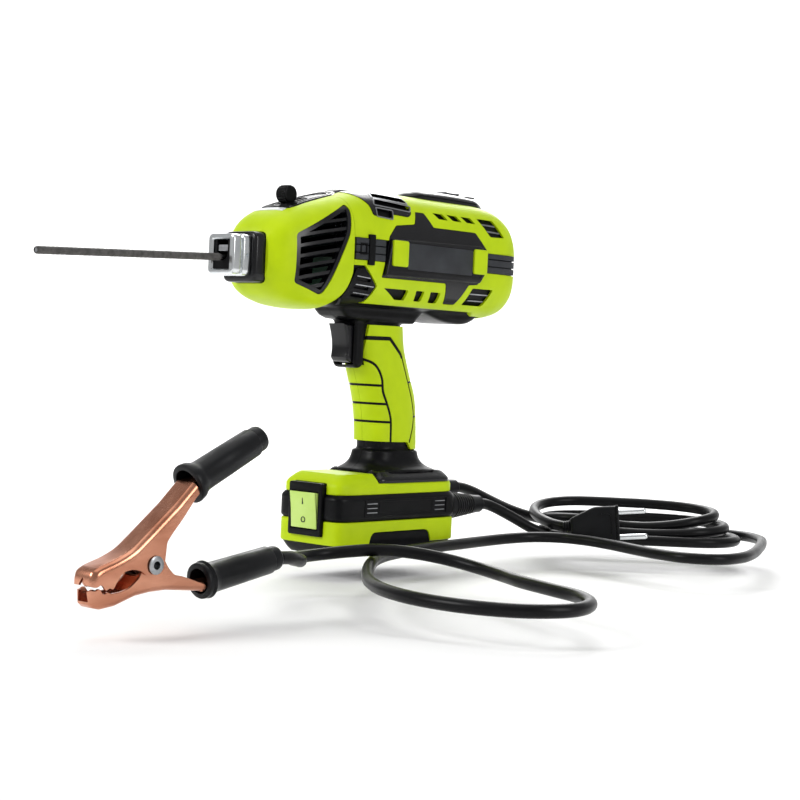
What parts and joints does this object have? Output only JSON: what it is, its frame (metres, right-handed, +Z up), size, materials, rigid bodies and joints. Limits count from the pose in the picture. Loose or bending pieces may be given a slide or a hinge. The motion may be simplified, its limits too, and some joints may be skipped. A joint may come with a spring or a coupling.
{
  "type": "handheld arc welder",
  "caption": "Pistol-shaped stick welder: lime and black barrel with electrode head, grip, base, coiled mains lead, and earth lead with spring clamp.",
  "frame": {"origin": "centre of the base's flat underside", "axes": "+Z up through the grip; -Y is the way the electrode points, +Y the rear; +X is the tool's left side"},
  "size_m": [0.3637, 0.7576, 0.285],
  "materials": {
    "lime_plastic": "satin moulded plastic",
    "black_plastic": "satin moulded plastic",
    "gloss_plastic": "polished black plastic",
    "grey_plastic": "fine-textured grey plastic",
    "lead_rubber": "smooth rubber sheath",
    "grip_rubber": "soft moulded rubber",
    "head_chrome": "bright nickel plate",
    "steel": "bare machined steel",
    "clamp_copper": "copper-plated pressed steel",
    "electrode_flux": "chalky flux coating",
    "rocker_plastic": "pale translucent plastic",
    "lamp_lens": "milky lens",
    "circuit_board": "lacquered board",
    "heat_sink_alloy": "extruded aluminium"
  },
  "bodies": {
    "welder": {"base_band": "black_plastic", "base_cover": "gloss_plastic", "base_foot": "black_plastic", "base_lower": "lime_plastic", "base_upper": "lime_plastic", "clamp_grip_lower": "grip_rubber", "clamp_lower_arm": "clamp_copper", "clamp_pivot": "steel", "display_window": "gloss_plastic", "earth_gland": "grip_rubber", "earth_lead": "lead_rubber", "electrode_coating": "electrode_flux", "electrode_core": "steel", "grip_skin_left": "lime_plastic", "grip_skin_right": "lime_plastic", "head_block": "head_chrome", "heat_sink": "heat_sink_alloy", "housing_left": "black_plastic", "housing_right": "black_plastic", "jaw_block": "steel", "label_plate_left": "grey_plastic", "label_plate_right": "grey_plastic", "lamp_window": "lamp_lens", "lower_vent_left": "black_plastic", "lower_vent_right": "black_plastic", "mains_coil": "lead_rubber", "mains_gland": "grip_rubber", "mains_lead": "lead_rubber", "nose_collar": "black_plastic", "nose_grille_left": "gloss_plastic", "nose_grille_right": "gloss_plastic", "nose_shell": "lime_plastic", "plug_body": "grip_rubber", "plug_pin_lower": "head_chrome", "plug_pin_upper": "head_chrome", "power_board": "circuit_board", "rear_grille": "black_plastic", "rocker_bezel": "black_plastic", "side_frame_left": "lime_plastic", "side_frame_right": "lime_plastic", "side_panel_left": "gloss_plastic", "side_panel_right": "gloss_plastic", "tab_front_left": "lime_plastic", "tab_front_right": "lime_plastic", "tab_rear_left": "lime_plastic", "tab_rear_right": "lime_plastic", "top_plate": "gloss_plastic", "top_pod": "gloss_plastic", "trigger_switch": "grey_plastic", "upper_vent_left": "black_plastic", "upper_vent_right": "black_plastic"},
    "trigger_body": {"trigger": "gloss_plastic"},
    "release": {"release_slide": "gloss_plastic", "release_knob": "black_plastic"},
    "shoe": {"pressure_shoe": "steel"},
    "rocker_body": {"rocker": "rocker_plastic"},
    "level_body": {"level_rocker": "grey_plastic"},
    "fan": {"fan_rotor": "black_plastic"},
    "clamp_upper": {"clamp_upper_arm": "clamp_copper", "clamp_grip_upper": "grip_rubber"}
  },
  "joints": [
    {"name": "trigger_pull", "type": "slide", "parent": "welder", "child": "trigger_body", "axis": [0, 1, 0], "range_m": [0, 0.006], "stiffness_N_per_m": 400, "springref_m": -0.004},
    {"name": "release_slide", "type": "slide", "parent": "welder", "child": "release", "axis": [0, 0.9563, 0.2924], "range_m": [0, 0.01], "stiffness_N_per_m": 500, "springref_m": -0.004},
    {"name": "shoe_lift", "type": "slide", "parent": "welder", "child": "shoe", "axis": [0, 0, 1], "range_m": [0, 0.003]},
    {"name": "rocker_tilt", "type": "hinge", "parent": "welder", "child": "rocker_body", "pos_m": [0, -0.0665, 0.033], "axis": [1, 0, 0], "range_deg": [0, 10]},
    {"name": "level_press", "type": "hinge", "parent": "welder", "child": "level_body", "pos_m": [0, 0.076, 0.2785], "axis": [1, 0, 0], "range_deg": [-5, 5], "stiffness_Nm_per_rad": 0.3},
    {"name": "fan_spin", "type": "hinge", "parent": "welder", "child": "fan", "pos_m": [0, 0.1165, 0.226], "axis": [0, 1, 0], "continuous": true},
    {"name": "clamp_open", "type": "hinge", "parent": "welder", "child": "clamp_upper", "pos_m": [0.139, -0.346, 0.0246], "axis": [-1, 0, 0], "range_deg": [0, 24], "stiffness_Nm_per_rad": 4, "springref_deg": -20.05}
  ],
  "couplings": [
    {"joint": "shoe_lift", "follows": "release_slide", "ratio": 0.3}
  ]
}
